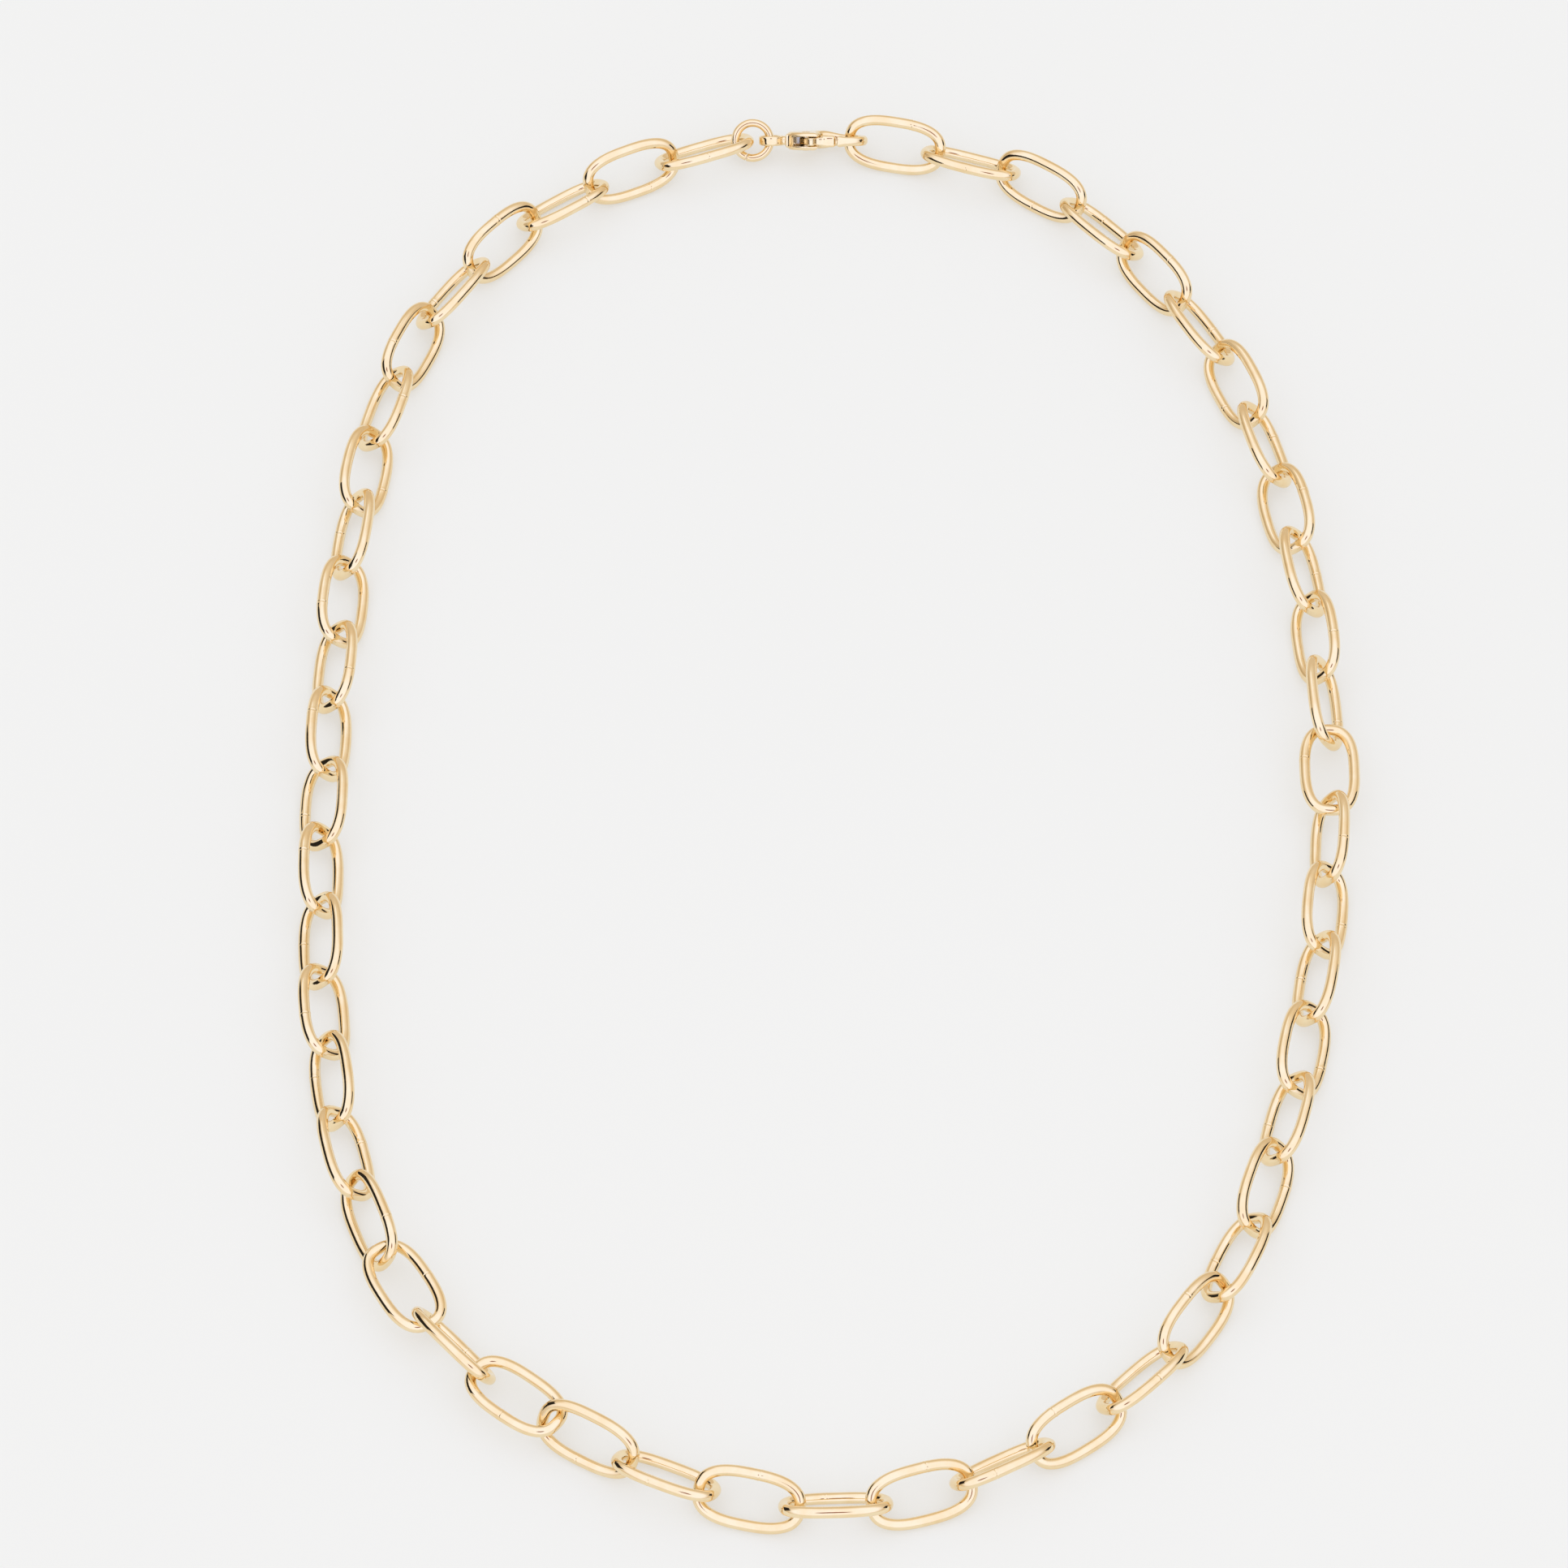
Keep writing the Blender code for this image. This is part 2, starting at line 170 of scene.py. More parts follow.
# Room: diffuse light and the backdrop are plain white. Reflections see warm walls that turn into a
# white ceiling between the WALL_TOP elevations, with soft patches. A patch is (azimuth, elevation,
# inner radius, outer radius, colour), and all angles are in degrees
ROOM = (0.985, 0.985, 0.985, 1.0)
BACKDROP = (0.9, 0.9, 0.9, 1.0)
WALL = (0.73, 0.625, 0.51, 1.0)
CEILING = (0.92, 0.85, 0.78, 1.0)
WALL_TOP = (20.0, 60.0)
SKY_PATCHES = (
    # A cool window at the back
    (-22, 50, 5, 16, (1.06, 1.10, 1.26, 1.0)),
    # A dim corner, low at the left
    (-60, 14, 8, 22, (0.58, 0.49, 0.38, 1.0)),
    # A large cool softbox, high in front
    (180, 62, 46, 74, (1.10, 1.15, 1.40, 1.0)),
    # A dark reddish shape in the softbox's light
    (180, 55, 6, 12, (0.30, 0.11, 0.08, 1.0)),
)

# Dark cards beside the necklace: (name, x, rear y, front y, height)
FLAGS = (
    ("left_flag", -0.165, 0.085, -0.09, 0.11),
    ("right_flag", 0.5, 0.18, -0.09, 0.22),
)
FLAG_COLOUR = (0.006, 0.004, 0.003, 1.0)

rng = random.Random(SEED)


# Shader helpers


def new_material(name):
    made = bpy.data.materials.new(name)
    made.use_nodes = True
    tree = made.node_tree
    return made, tree, tree.nodes["Principled BSDF"]


def node(tree, kind, **values):
    """A node with its inputs set from values, whose names are written with _ for a space."""
    made = tree.nodes.new(kind)
    for name, value in values.items():
        if name in made.bl_rna.properties:
            setattr(made, name, value)
        else:
            made.inputs[name.replace("_", " ")].default_value = value
    return made


def link(tree, output, target):
    tree.links.new(output, target)


def ramp(tree, source, stops):
    """A colour ramp's output; stops is (place, colour) pairs."""
    made = tree.nodes.new("ShaderNodeValToRGB")
    link(tree, source, made.inputs["Fac"])
    band = made.color_ramp
    while len(band.elements) < len(stops):
        band.elements.new(0.5)
    for element, (place, colour) in zip(band.elements, stops):
        element.position = place
        element.color = colour
    return made.outputs["Color"]


def map_range(tree, source, from_low, from_high, to_low=0.0, to_high=1.0, smooth=False):
    made = tree.nodes.new("ShaderNodeMapRange")
    made.interpolation_type = "SMOOTHSTEP" if smooth else "LINEAR"
    link(tree, source, made.inputs["Value"])
    for name, value in (
        ("From Min", from_low),
        ("From Max", from_high),
        ("To Min", to_low),
        ("To Max", to_high),
    ):
        made.inputs[name].default_value = value
    return made.outputs["Result"]


def maths(tree, operation, a, b):
    """The result of a Math node; a and b are outputs or numbers."""
    made = tree.nodes.new("ShaderNodeMath")
    made.operation = operation
    for socket, value in zip(made.inputs, (a, b)):
        if isinstance(value, (int, float)):
            socket.default_value = value
        else:
            link(tree, value, socket)
    return made.outputs["Value"]


# Materials


def polished_gold(name, light, deep, roughness, drawn=1.0):
    """Gold plate: a slightly uneven tone, a near-mirror polish, soft waves and fine scratches.

    drawn is how strongly the drawing lines along the wire show.
    """
    made, tree, shader = new_material(name)
    place = node(tree, "ShaderNodeTexCoord")
    along = node(tree, "ShaderNodeMapping")
    along.inputs["Scale"].default_value = (1.0, 22.0, 1.0)
    link(tree, place.outputs["UV"], along.inputs["Vector"])
    lines = node(tree, "ShaderNodeTexNoise", Scale=1.0, Detail=4.0, Roughness=0.6)
    link(tree, along.outputs["Vector"], lines.inputs["Vector"])
    tone = node(tree, "ShaderNodeTexNoise", Scale=420.0, Detail=3.0, Roughness=0.55)
    link(tree, place.outputs["Object"], tone.inputs["Vector"])
    waves = node(tree, "ShaderNodeTexNoise", Scale=900.0, Detail=2.0, Roughness=0.5)
    link(tree, place.outputs["Object"], waves.inputs["Vector"])
    scratch = node(
        tree, "ShaderNodeTexNoise", Scale=9000.0, Detail=3.0, Roughness=0.7, Distortion=1.5
    )
    link(tree, place.outputs["Object"], scratch.inputs["Vector"])
    colour = ramp(tree, tone.outputs["Fac"], ((0.32, deep), (0.62, light)))
    link(tree, colour, shader.inputs["Base Color"])
    shader.inputs["Metallic"].default_value = 1.0
    rough = map_range(tree, tone.outputs["Fac"], 0.3, 0.7, roughness * 0.75, roughness * 1.35)
    link(tree, rough, shader.inputs["Roughness"])
    height = maths(tree, "MULTIPLY", lines.outputs["Fac"], 0.5 * drawn)
    height = maths(tree, "ADD", height, maths(tree, "MULTIPLY", waves.outputs["Fac"], 0.6))
    height = maths(tree, "ADD", height, maths(tree, "MULTIPLY", scratch.outputs["Fac"], 0.08))
    bump = node(tree, "ShaderNodeBump", Strength=0.12, Distance=0.00004)
    link(tree, height, bump.inputs["Height"])
    link(tree, bump.outputs["Normal"], shader.inputs["Normal"])
    return made


def bare_steel(name, light, deep, roughness):
    """Spring steel strip: grey, satin, with rolling lines."""
    made, tree, shader = new_material(name)
    place = node(tree, "ShaderNodeTexCoord")
    lines = node(tree, "ShaderNodeTexNoise", Scale=3000.0, Detail=4.0, Roughness=0.65)
    link(tree, place.outputs["Object"], lines.inputs["Vector"])
    colour = ramp(tree, lines.outputs["Fac"], ((0.3, deep), (0.7, light)))
    link(tree, colour, shader.inputs["Base Color"])
    shader.inputs["Metallic"].default_value = 1.0
    rough = map_range(tree, lines.outputs["Fac"], 0.3, 0.7, *roughness)
    link(tree, rough, shader.inputs["Roughness"])
    bump = node(tree, "ShaderNodeBump", Strength=0.15, Distance=0.00002)
    link(tree, lines.outputs["Fac"], bump.inputs["Height"])
    link(tree, bump.outputs["Normal"], shader.inputs["Normal"])
    return made


def pale_floor():
    """A matt, faintly mottled white sheet, lit partly from below."""
    made, tree, shader = new_material("pale_floor")
    place = node(tree, "ShaderNodeTexCoord")
    mottle = node(tree, "ShaderNodeTexNoise", Scale=3.0, Detail=3.0)
    link(tree, place.outputs["Object"], mottle.inputs["Vector"])
    colour = ramp(
        tree, mottle.outputs["Fac"], ((0.3, FLOOR_TONES[0]), (0.7, FLOOR_TONES[1]))
    )
    link(tree, colour, shader.inputs["Base Color"])
    shader.inputs["Roughness"].default_value = FLOOR_ROUGHNESS
    shader.inputs["Specular IOR Level"].default_value = 0.0
    shader.inputs["Emission Color"].default_value = FLOOR_GLOW
    shader.inputs["Emission Strength"].default_value = FLOOR_GLOW_STRENGTH
    return made


# Meshes


def mesh_object(name, vertices, faces, finish, matrix, uvs=None):
    """A smooth-shaded piece from vertices in millimetres, placed by matrix."""
    mesh = bpy.data.meshes.new(name)
    mesh.from_pydata([tuple(v) for v in vertices], [], faces)
    mesh.validate()
    if uvs is not None:
        layer = mesh.uv_layers.new(name="along_and_round")
        flat = [uv for face in uvs for uv in face]
        for spot, uv in zip(layer.data, flat):
            spot.uv = uv
    mesh.materials.append(finish)
    mesh.transform(Matrix.Scale(MM, 4))
    mesh.transform(matrix)
    mesh.shade_smooth()
    obj = bpy.data.objects.new(name, mesh)
    bpy.context.scene.collection.objects.link(obj)
    return obj


def stand_for(piece, name, body):
    """Shows the piece in place of CAD node name, on that node's body."""
    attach(piece, body)
    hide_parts(name)


def swept_ring(centres, sideways, normals, radii, closed=True):
    """(vertices, faces, uvs) of round wire through the centres.

    Each ring of the wire lies in the plane of its sideways and normal directions. The uvs run along
    the wire in millimetres and once round it.
    """
    count, sides = len(centres), WIRE_SIDES
    vertices, faces, uvs = [], [], []
    for centre, side, normal, radius in zip(centres, sideways, normals, radii):
        for j in range(sides):
            angle = 2 * math.pi * j / sides
            vertices.append(centre + (side * math.cos(angle) + normal * math.sin(angle)) * radius)
    reach = [0.0]
    for i in range(count):
        reach.append(reach[-1] + (centres[(i + 1) % count] - centres[i]).length)
    for i in range(count if closed else count - 1):
        k = (i + 1) % count
        for j in range(sides):
            m = (j + 1) % sides
            faces.append((i * sides + j, i * sides + m, k * sides + m, k * sides + j))
            low, high = j / sides, (j + 1) / sides
            uvs.append(
                ((reach[i], low), (reach[i], high), (reach[i + 1], high), (reach[i + 1], low))
            )
    if not closed:
        faces.append(tuple(reversed(range(sides))))
        uvs.append(((0.0, 0.0),) * sides)
        last = (count - 1) * sides
        faces.append(tuple(range(last, last + sides)))
        uvs.append(((0.0, 0.0),) * sides)
    return vertices, faces, uvs


def superellipse(half_length, half_width, squareness, angle):
    """A point of an oval between an ellipse (squareness 2) and a rectangle."""
    c, s = math.cos(angle), math.sin(angle)
    return Vector(
        (
            half_length * math.copysign(abs(c) ** (2 / squareness), c),
            half_width * math.copysign(abs(s) ** (2 / squareness), s),
            0.0,
        )
    )


def oval_by_length(half_length, half_width, squareness, fine=2400):
    """A function from a share of the oval's perimeter to the point there, and the perimeter."""
    points = [
        superellipse(half_length, half_width, squareness, 2 * math.pi * i / fine)
        for i in range(fine + 1)
    ]
    reach = np.concatenate(
        ([0.0], np.cumsum([(b - a).length for a, b in zip(points, points[1:])]))
    )
    xs = np.array([p.x for p in points])
    ys = np.array([p.y for p in points])

    def at(share):
        wanted = (share % 1.0) * reach[-1]
        return Vector((np.interp(wanted, reach, xs), np.interp(wanted, reach, ys), 0.0))

    return at, reach[-1]


def link_mesh():
    """(vertices, faces, uvs) of one link with its own small irregularities and solder seam."""
    radius = LINK_WIRE / 2
    half_length = (LINK_LENGTH - LINK_WIRE) / 2
    half_width = (LINK_WIDTH - LINK_WIRE) / 2
    at, perimeter = oval_by_length(half_length, half_width, LINK_SQUARENESS)
    wedge = rng.uniform(-LINK_WEDGE, LINK_WEDGE)
    bow = rng.uniform(-LINK_BOW, LINK_BOW)
    seam = rng.choice(SEAM_PLACES) + rng.uniform(-SEAM_SPREAD, SEAM_SPREAD)
    step = rng.uniform(-SEAM_STEP, SEAM_STEP)
    shares = [(i + 0.5) / LINK_STEPS for i in range(LINK_STEPS)]
    near = SEAM_REACH / perimeter
    shares = [s for s in shares if abs(s - seam) > near * 1.15]
    shares += [seam + near * (2 * i / (SEAM_STEPS - 1) - 1) ** 3 for i in range(SEAM_STEPS)]
    shares.sort()
    centres, sideways, normals, radii = [], [], [], []
    for share in shares:
        point = at(share)
        ahead = at(share + 0.002) - at(share - 0.002)
        ahead.normalize()
        side = Vector((ahead.y, -ahead.x, 0.0))
        t = (share - seam) * perimeter
        groove = SEAM_GROOVE * math.exp(-((t / SEAM_GROOVE_REACH) ** 2))
        swell = SEAM_SWELL * math.exp(-((t / SEAM_SWELL_REACH) ** 2))
        shift = step * math.tanh(t / SEAM_STEP_EDGE) * math.exp(-((t / SEAM_STEP_REACH) ** 2))
        point.y *= 1 + wedge * point.x / half_length
        point.z += bow * ((point.x / half_length) ** 2 - 0.4)
        centres.append(point + side * shift)
        sideways.append(side)
        normals.append(Vector((0.0, 0.0, 1.0)))
        radii.append(radius - groove + swell)
    return swept_ring(centres, sideways, normals, radii)


def node_points(name):
    """The vertices of a CAD node, as an (n, 3) array."""
    mesh = frame["nodes"][name].data
    points = np.empty(len(mesh.vertices) * 3)
    mesh.vertices.foreach_get("co", points)
    return points.reshape(-1, 3)


def middle_of(name):
    low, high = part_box(name)
    return (low + high) / 2


def oval_frame(name, onwards):
    """The placement of an oval piece.

    x runs along it and on round the chain, y runs across it and up, and z runs through it.
    """
    points = node_points(name)
    spread = np.linalg.eigh(np.cov(points.T))[1]
    x = Vector(spread[:, 2])
    y = Vector(spread[:, 1])
    if x.dot(onwards) < 0:
        x = -x
    if y.z < 0:
        y = -y
    matrix = Matrix((x, y, x.cross(y))).transposed().to_4x4()
    matrix.translation = middle_of(name)
    return matrix


def build_links(gold):
    names = sorted(n for n in frame["nodes"] if n.startswith("link_"))
    for i, name in enumerate(names):
        behind = middle_of(names[max(i - 1, 0)])
        ahead = middle_of(names[min(i + 1, len(names) - 1)])
        matrix = oval_frame(name, ahead - behind)
        vertices, faces, uvs = link_mesh()
        piece = mesh_object(f"{name}_wire", vertices, faces, gold, matrix, uvs)
        stand_for(piece, name, name)


def build_jump_ring(gold):
    points = node_points("jump_ring")
    normal = Vector(np.linalg.eigh(np.cov(points.T))[1][:, 0])
    if normal.z < 0:
        normal = -normal
    x = Vector((1.0, 0.0, 0.0))
    x = (x - normal * x.dot(normal)).normalized()
    y = normal.cross(x)
    matrix = Matrix((x, y, normal)).transposed().to_4x4()
    matrix.translation = middle_of("jump_ring")
    radius = (RING_DIAMETER - RING_WIRE) / 2
    half_gap = RING_GAP / 2 / radius
    centres, sideways, normals, radii = [], [], [], []
    ends = [half_gap + t / radius for t, _ in RING_END]
    rest = 2 * math.pi - 2 * ends[-1]
    inner = [ends[-1] + rest * (i + 1) / RING_STEPS for i in range(RING_STEPS - 1)]
    turns = ends + inner + [2 * math.pi - e for e in reversed(ends)]
    shares = [s for _, s in RING_END]
    scales = shares + [1.0] * len(inner) + shares[::-1]
    for turn, scale in zip(turns, scales):
        angle = RING_CUT + turn
        out = Vector((math.cos(angle), math.sin(angle), 0.0))
        centres.append(out * radius)
        sideways.append(-out)
        normals.append(Vector((0.0, 0.0, -1.0)))
        radii.append(RING_WIRE / 2 * scale)
    vertices, faces, uvs = swept_ring(centres, sideways, normals, radii, closed=False)
    piece = mesh_object("jump_ring_wire", vertices, faces, gold, matrix, uvs)
    stand_for(piece, "jump_ring", "jump_ring")


# Distance fields, for cast shapes: each takes an (n, 3) array of points and gives n distances


def blend_min(a, b, radius):
    """The union of two shapes, with a fillet of about the radius between them."""
    share = np.clip(0.5 + 0.5 * (b - a) / radius, 0, 1)
    return b + (a - b) * share - radius * share * (1 - share)


def blend_max(a, b, radius):
    """What two shapes share, with its new edges rounded by about the radius."""
    return -blend_min(-a, -b, radius)


def plan_oval(p, rear, front, half_width, squareness):
    """Distance in plan to a superellipse, true near its edge."""
    a, b = (front - rear) / 2, half_width
    x = np.abs(p[:, 0] - (rear + front) / 2) / a + 1e-9
    y = np.abs(p[:, 1]) / b + 1e-9
    n = squareness
    size = (x**n + y**n) ** (1 / n)
    slope = np.hypot((x / size) ** (n - 1) / a, (y / size) ** (n - 1) / b)
    return (size - 1) / slope


def plan_box(p, low, high):
    """Distance in plan to a rectangle."""
    centre = (np.array(low) + np.array(high)) / 2
    half = (np.array(high) - np.array(low)) / 2
    away = np.abs(p[:, :2] - centre) - half
    return np.hypot(*np.maximum(away, 0).T) + np.minimum(away.max(1), 0)


def plan_capsule(p, start, end, start_radius, end_radius):
    """Distance in plan to a bar with round ends of two radii."""
    a, b = np.array(start), np.array(end)
    run = b - a
    share = np.clip((p[:, :2] - a) @ run / (run @ run), 0, 1)
    spot = a + share[:, None] * run
    return np.hypot(*(p[:, :2] - spot).T) - (start_radius + share * (end_radius - start_radius))


def plate(plan, w, half, rounding):
    """Distance to a plate of a plan shape, from -half to half in w, with rounded edges."""
    x = plan + rounding
    y = np.abs(w) - half + rounding
    return np.hypot(np.maximum(x, 0), np.maximum(y, 0)) + np.minimum(np.maximum(x, y), 0) - rounding


def clasp_body_field(p):
    """The casting: an eye, a neck with a collar, and a teardrop plate thinned towards its nose.

    The plate's window and its gate gap leave a hook, and it has a slot and a hole for the lever.
    """
    u, w = p[:, 0], p[:, 2]
    share = np.clip((u - TAPER_FROM) / (TAPER_TO - TAPER_FROM), 0, 1)
    share = share * share * (3 - 2 * share)
    half = BODY_HALF_THICKNESS + share * (HOOK_HALF_THICKNESS - BODY_HALF_THICKNESS)
    outline = plan_oval(p, BODY_REAR, BODY_NOSE, BODY_HALF_WIDTH, BODY_SQUARENESS)
    window = plan_oval(p, WINDOW_REAR, WINDOW_FRONT, WINDOW_HALF_WIDTH, WINDOW_SQUARENESS)
    gate = plan_box(p, (WINDOW_REAR - 0.1, 0.0), (GATE_FRONT, 5.0))
    plan = blend_max(outline, -blend_min(window, gate, 0.1), 0.1)
    body = plate(plan, w, half, np.minimum(half * 0.85, BODY_ROUNDING))
    neck = plate(plan_box(p, *NECK), w, NECK_HALF_THICKNESS, 0.4)
    collar = plate(plan_box(p, *COLLAR), w, COLLAR_HALF_THICKNESS, 0.17)
    ring = np.abs(np.hypot(u, p[:, 1]) - EYE_WIRE_RADIUS) - EYE_WIRE_HALF
    eye = plate(ring, w, EYE_HALF_THICKNESS, 0.24)
    solid = blend_min(body, blend_min(neck, collar, 0.12), 0.25)
    solid = blend_min(solid, eye, 0.18)
    hole = np.hypot(u, p[:, 1]) - (EYE_WIRE_RADIUS - EYE_WIRE_HALF)
    solid = np.maximum(solid, -hole)
    slot = np.maximum(
        plan_box(p, (SLOT_REAR, SLOT_FLOOR), (WINDOW_REAR + 0.6, 5.0)), np.abs(w) - SLOT_HALF_WIDTH
    )
    pin = np.hypot(u - PIN_U, p[:, 1] - PIN_V) - PIN_HOLE
    return blend_max(solid, -np.minimum(slot, pin), 0.06)


def clasp_lever_field(p):
    """The gate: a hub on the pin, a thumb tab behind it, and an arm that closes the hook."""
    w = p[:, 2]
    hub, tab, root, arm = (plan_capsule(p, *bar) for bar in LEVER_BARS)
    heel = blend_min(blend_min(hub, tab, 0.35), root, 0.4)
    solid = blend_min(
        plate(heel, w, LEVER_HALF_THICKNESS, 0.14), plate(arm, w, ARM_HALF_THICKNESS, 0.3), 0.12
    )
    pin = np.hypot(p[:, 0] - PIN_U, p[:, 1] - PIN_V) - PIN_HOLE
    return blend_max(solid, -pin, 0.05)


def field_mesh(field, low, high, cell=FIELD_CELL):
    """(vertices, faces) of the surface where the field is zero.

    Each cell of the grid that the surface crosses gets one vertex.
    """
    low, high = np.array(low), np.array(high)
    counts = np.ceil((high - low) / cell).astype(int) + 1
    axes = [low[i] + cell * np.arange(counts[i]) for i in range(3)]
    grid = np.stack(np.meshgrid(*axes, indexing="ij"), axis=-1)
    values = field(grid.reshape(-1, 3)).reshape(counts)
    inside = values < 0
    corners = [(i, j, k) for i in (0, 1) for j in (0, 1) for k in (0, 1)]
    cells = counts - 1
    total = np.zeros((*cells, 3))
    crossings = np.zeros(cells)
    for a in corners:
        for axis in range(3):
            if a[axis]:
                continue
            b = tuple(1 if i == axis else a[i] for i in range(3))
            first = tuple(slice(a[i], a[i] + cells[i]) for i in range(3))
            second = tuple(slice(b[i], b[i] + cells[i]) for i in range(3))
            crossed = inside[first] != inside[second]
            gap = values[first] - values[second]
            share = np.where(crossed, values[first] / np.where(gap == 0, 1, gap), 0)
            spot = grid[first] + share[..., None] * (grid[second] - grid[first])
            total += spot * crossed[..., None]
            crossings += crossed
    used = crossings > 0
    number = np.full(cells, -1)
    number[used] = np.arange(used.sum())
    vertices = total[used] / crossings[used][:, None]
    faces = []
    for axis in range(3):
        side, other = [i for i in range(3) if i != axis]
        if axis == 1:
            side, other = other, side
        start = [slice(0, counts[i]) for i in range(3)]
        end = list(start)
        start[axis] = slice(0, counts[axis] - 1)
        end[axis] = slice(1, counts[axis])
        enters = inside[tuple(start)] & ~inside[tuple(end)]
        leaves = ~inside[tuple(start)] & inside[tuple(end)]
        for crossed, flipped in ((enters, False), (leaves, True)):
            spots = np.argwhere(crossed)
            back_side, back_other = np.zeros(3, int), np.zeros(3, int)
            back_side[side] = 1
            back_other[other] = 1
            ring = [
                number[tuple((spots - back_side - back_other).T)],
                number[tuple((spots - back_other).T)],
                number[tuple(spots.T)],
                number[tuple((spots - back_side).T)],
            ]
            if flipped:
                ring.reverse()
            faces += [tuple(int(n) for n in f) for f in zip(*ring)]
    return settle(field, vertices), faces


def settle(field, points, rounds=3, reach=1e-3):
    """Moves points onto the zero surface by Newton steps."""
    for _ in range(rounds):
        slope = np.stack(
            [
                (field(points + step) - field(points - step)) / (2 * reach)
                for step in np.eye(3) * reach
            ],
            axis=1,
        )
        size = np.maximum((slope**2).sum(1), 0.05)
        points = points - (field(points) / size)[:, None] * slope
    return points


# Clasp


def clasp_frame():
    """Where the clasp's own frame lies, from its lever's hinge."""
    joints = {joint["name"]: joint for joint in frame["joints"]}
    press = joints["clasp_lever_press"]
    w = -Vector(press["axis"]).normalized()
    u = Vector((1.0, 0.0, 0.0))
    u = (u - w * u.dot(w)).normalized()
    v = w.cross(u)
    matrix = Matrix((u, v, w)).transposed().to_4x4()
    matrix.translation = Vector(press["pos_m"]) - (u * PIN_U + v * PIN_V) * MM
    return matrix


def turned(profile, steps):
    """(vertices, faces) of a profile of (radius, height) pairs turned round w.

    The solid closes on the axis at both ends.
    """
    vertices = [Vector((0.0, 0.0, profile[0][1]))]
    for radius, height in profile[1:-1]:
        for i in range(steps):
            angle = 2 * math.pi * i / steps
            vertices.append(Vector((radius * math.cos(angle), radius * math.sin(angle), height)))
    vertices.append(Vector((0.0, 0.0, profile[-1][1])))
    last = len(vertices) - 1
    faces = []
    rows = len(profile) - 2
    for i in range(steps):
        k = (i + 1) % steps
        faces.append((0, 1 + k, 1 + i))
        faces.append((last, 1 + (rows - 1) * steps + i, 1 + (rows - 1) * steps + k))
        for r in range(rows - 1):
            a, b = 1 + r * steps, 1 + (r + 1) * steps
            faces.append((a + i, a + k, b + k, b + i))
    return vertices, faces


def pin_mesh():
    """The pivot pin, with both ends peened into low domes."""
    head, half = PIN_HEAD_RADIUS, BODY_HALF_THICKNESS
    dome = [
        (head * math.sin(t), half + PIN_DOME * math.cos(t))
        for t in np.linspace(0, math.pi / 2, 6)
    ]
    top = dome + [(head - 0.02, half - 0.02), (PIN_RADIUS, half - 0.05)]
    profile = [(r, -h) for r, h in top] + [(r, h) for r, h in reversed(top)]
    vertices, faces = turned(profile, 32)
    return [v + Vector((PIN_U, PIN_V, 0.0)) for v in vertices], faces


def spring_mesh():
    """The leaf spring: a strip along its foot, round its bend and up its blade."""
    half_width = SPRING_HALF_WIDTH
    foot, blade = (
        [Vector(start).lerp(Vector(end), t) for t in np.linspace(0, 1, 6)]
        for start, end in (SPRING_FOOT, SPRING_BLADE)
    )
    bend = [
        Vector(SPRING_BEND) - Vector((math.sin(t), math.cos(t))) * SPRING_BEND_RADIUS
        for t in np.linspace(0.15, math.pi - 0.2, 8)
    ]
    spots = foot + bend + blade
    vertices, faces = [], []
    for i, spot in enumerate(spots):
        ahead = (spots[min(i + 1, len(spots) - 1)] - spots[max(i - 1, 0)]).normalized()
        side = Vector((-ahead.y, ahead.x)) * SPRING_HALF_STRIP
        upper, lower = spot + side, spot - side
        for corner, w in (
            (upper, -half_width),
            (upper, half_width),
            (lower, half_width),
            (lower, -half_width),
        ):
            vertices.append(Vector((corner.x, corner.y, w)))
    for i in range(len(spots) - 1):
        for j in range(4):
            k = (j + 1) % 4
            faces.append((i * 4 + j, i * 4 + k, i * 4 + 4 + k, i * 4 + 4 + j))
    faces.append((3, 2, 1, 0))
    last = (len(spots) - 1) * 4
    faces.append((last, last + 1, last + 2, last + 3))
    return vertices, faces


def make_consistent(obj, sharp):
    """Points the faces outwards, and keeps edges that turn more than sharp degrees sharp."""
    body = bmesh.new()
    body.from_mesh(obj.data)
    bmesh.ops.recalc_face_normals(body, faces=body.faces)
    body.to_mesh(obj.data)
    body.free()
    obj.data.set_sharp_from_angle(angle=math.radians(sharp))


def build_clasp(gold, pale, steel):
    matrix = clasp_frame()
    vertices, faces = field_mesh(clasp_body_field, *BODY_GRID)
    body = mesh_object("clasp_body_casting", vertices, faces, gold, matrix)
    stand_for(body, "clasp_body", "clasp")
    vertices, faces = field_mesh(clasp_lever_field, *LEVER_GRID)
    lever = mesh_object("clasp_lever_casting", vertices, faces, gold, matrix)
    stand_for(lever, "clasp_lever", "clasp_lever")
    pin = mesh_object("clasp_pin_peened", *pin_mesh(), pale, matrix)
    make_consistent(pin, 50)
    stand_for(pin, "clasp_pin", "clasp")
    spring = mesh_object("clasp_leaf_spring", *spring_mesh(), steel, matrix)
    make_consistent(spring, 40)
    stand_for(spring, "clasp_spring", "clasp")


# Studio


def build_floor():
    half = FLOOR_SIZE / 2
    mesh = bpy.data.meshes.new("floor")
    corners = [(-half, -half, 0.0), (half, -half, 0.0), (half, half, 0.0), (-half, half, 0.0)]
    mesh.from_pydata(corners, [], [(0, 1, 2, 3)])
    mesh.materials.append(pale_floor())
    floor = bpy.data.objects.new("floor", mesh)
    bpy.context.scene.collection.objects.link(floor)


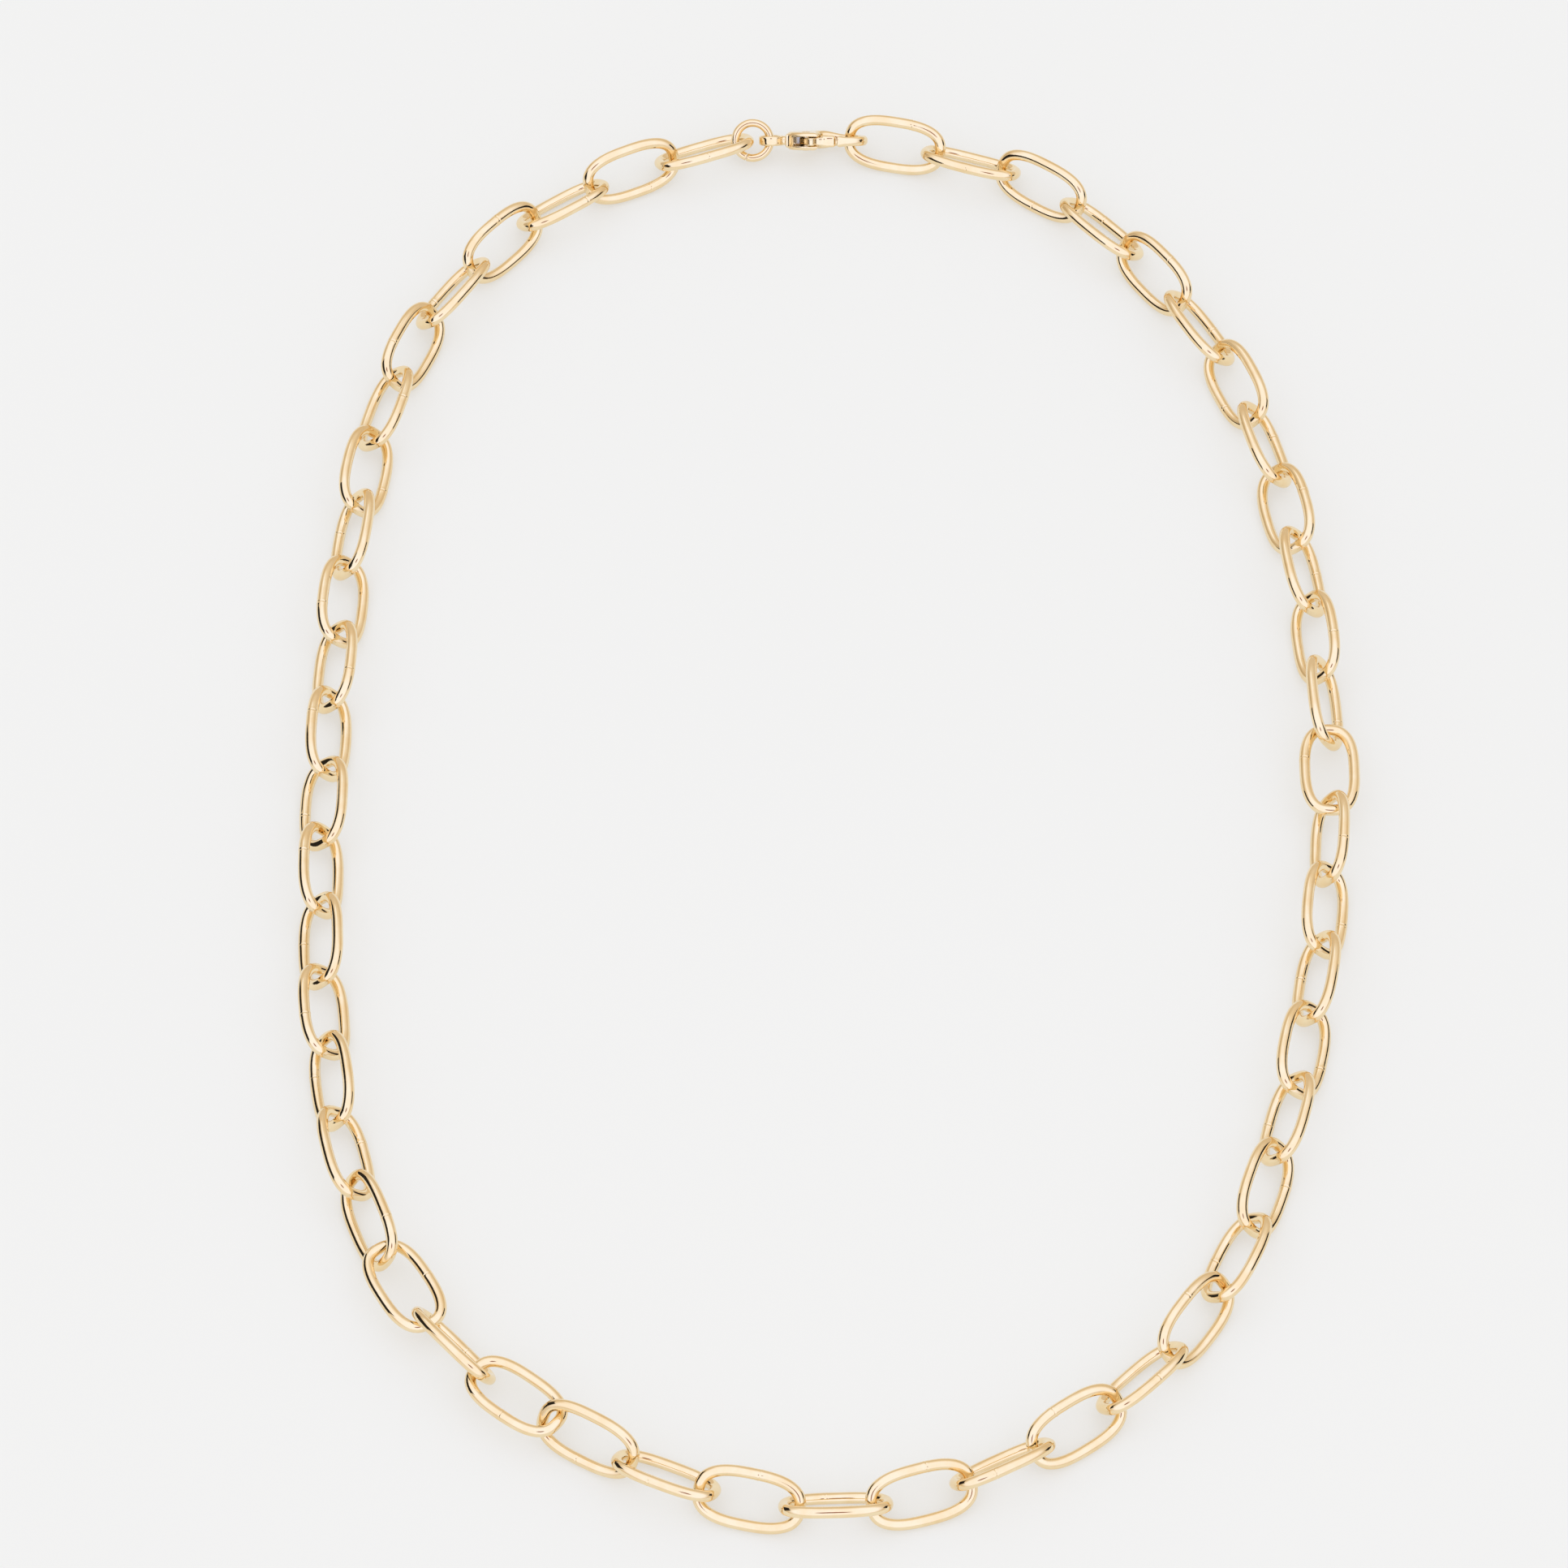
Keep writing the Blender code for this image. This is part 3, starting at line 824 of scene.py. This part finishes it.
def build_flag(name, x, rear, front, height):
    """A dark card standing on the floor beside the necklace, which only reflections see."""
    mesh = bpy.data.meshes.new(name)
    corners = [(x, front, 0.0), (x, rear, 0.0), (x, rear, height), (x, front, height)]
    mesh.from_pydata(corners, [], [(0, 1, 2, 3)])
    made, _, shader = new_material(name)
    shader.inputs["Base Color"].default_value = FLAG_COLOUR
    shader.inputs["Roughness"].default_value = 0.9
    mesh.materials.append(made)
    flag = bpy.data.objects.new(name, mesh)
    bpy.context.scene.collection.objects.link(flag)
    flag.visible_camera = False
    flag.visible_diffuse = False
    flag.visible_shadow = False


def direction(azimuth, elevation):
    """Azimuth 0 is +Y, positive towards +X, in degrees."""
    a, e = math.radians(azimuth), math.radians(elevation)
    return Vector((math.sin(a) * math.cos(e), math.cos(a) * math.cos(e), math.sin(e)))


def sky_blob(tree, place, azimuth, elevation, inner, outer):
    """1 within inner degrees of a direction, falling to 0 at outer."""
    spot = node(tree, "ShaderNodeVectorMath", operation="DOT_PRODUCT")
    link(tree, place, spot.inputs[0])
    spot.inputs[1].default_value = direction(azimuth, elevation)
    low, high = math.cos(math.radians(outer)), math.cos(math.radians(inner))
    return map_range(tree, spot.outputs["Value"], low, high, smooth=True)


def mix(tree, share, a, b):
    """The colour between a and b. A Mix node's colours are its inputs 6 and 7, and its output 2."""
    made = tree.nodes.new("ShaderNodeMix")
    made.data_type = "RGBA"
    link(tree, share, made.inputs["Factor"])
    for socket, value in ((made.inputs[6], a), (made.inputs[7], b)):
        if isinstance(value, tuple):
            socket.default_value = value
        else:
            link(tree, value, socket)
    return made.outputs[2]


def build_world():
    """A white studio whose reflections are bright overhead and in front, and warm low down."""
    world = bpy.data.worlds.new("studio")
    bpy.context.scene.world = world
    world.use_nodes = True
    tree = world.node_tree
    background = tree.nodes["Background"]
    place = node(tree, "ShaderNodeTexCoord").outputs["Generated"]
    parts = node(tree, "ShaderNodeSeparateXYZ")
    link(tree, place, parts.inputs["Vector"])
    low, high = (math.sin(math.radians(e)) for e in WALL_TOP)
    above = map_range(tree, parts.outputs["Z"], low, high, smooth=True)
    sky = mix(tree, above, WALL, CEILING)
    for azimuth, elevation, inner, outer, colour in SKY_PATCHES:
        sky = mix(tree, sky_blob(tree, place, azimuth, elevation, inner, outer), sky, colour)
    path = node(tree, "ShaderNodeLightPath")
    sky = mix(tree, path.outputs["Is Diffuse Ray"], sky, ROOM)
    link(tree, mix(tree, path.outputs["Is Camera Ray"], sky, BACKDROP), background.inputs["Color"])


def build_camera():
    data = bpy.data.cameras.new("camera")
    camera = bpy.data.objects.new("camera", data)
    bpy.context.scene.collection.objects.link(camera)
    data.sensor_fit = "AUTO"
    data.sensor_width = 36.0
    data.lens = data.sensor_width / 2 / math.tan(math.radians(CAMERA_FIELD) / 2)
    data.clip_start, data.clip_end = 0.01, 20.0
    back = direction(180, CAMERA_ELEVATION)
    camera.location = CAMERA_TARGET + back * CAMERA_DISTANCE
    camera.rotation_mode = "QUATERNION"
    camera.rotation_quaternion = back.to_track_quat("Z", "Y")
    bpy.context.scene.camera = camera


def main():
    build_camera()
    build_world()
    build_floor()
    for flag in FLAGS:
        build_flag(*flag)
    gold = polished_gold("gold_plate", *WIRE_GOLD)
    cast = polished_gold("cast_gold", *CAST_GOLD, drawn=0.0)
    pale = polished_gold("pin_gold", *PIN_GOLD, drawn=0.0)
    build_links(gold)
    build_jump_ring(gold)
    build_clasp(cast, pale, bare_steel("spring_steel", *STEEL))
    bpy.context.scene.view_settings.view_transform = "Standard"


main()
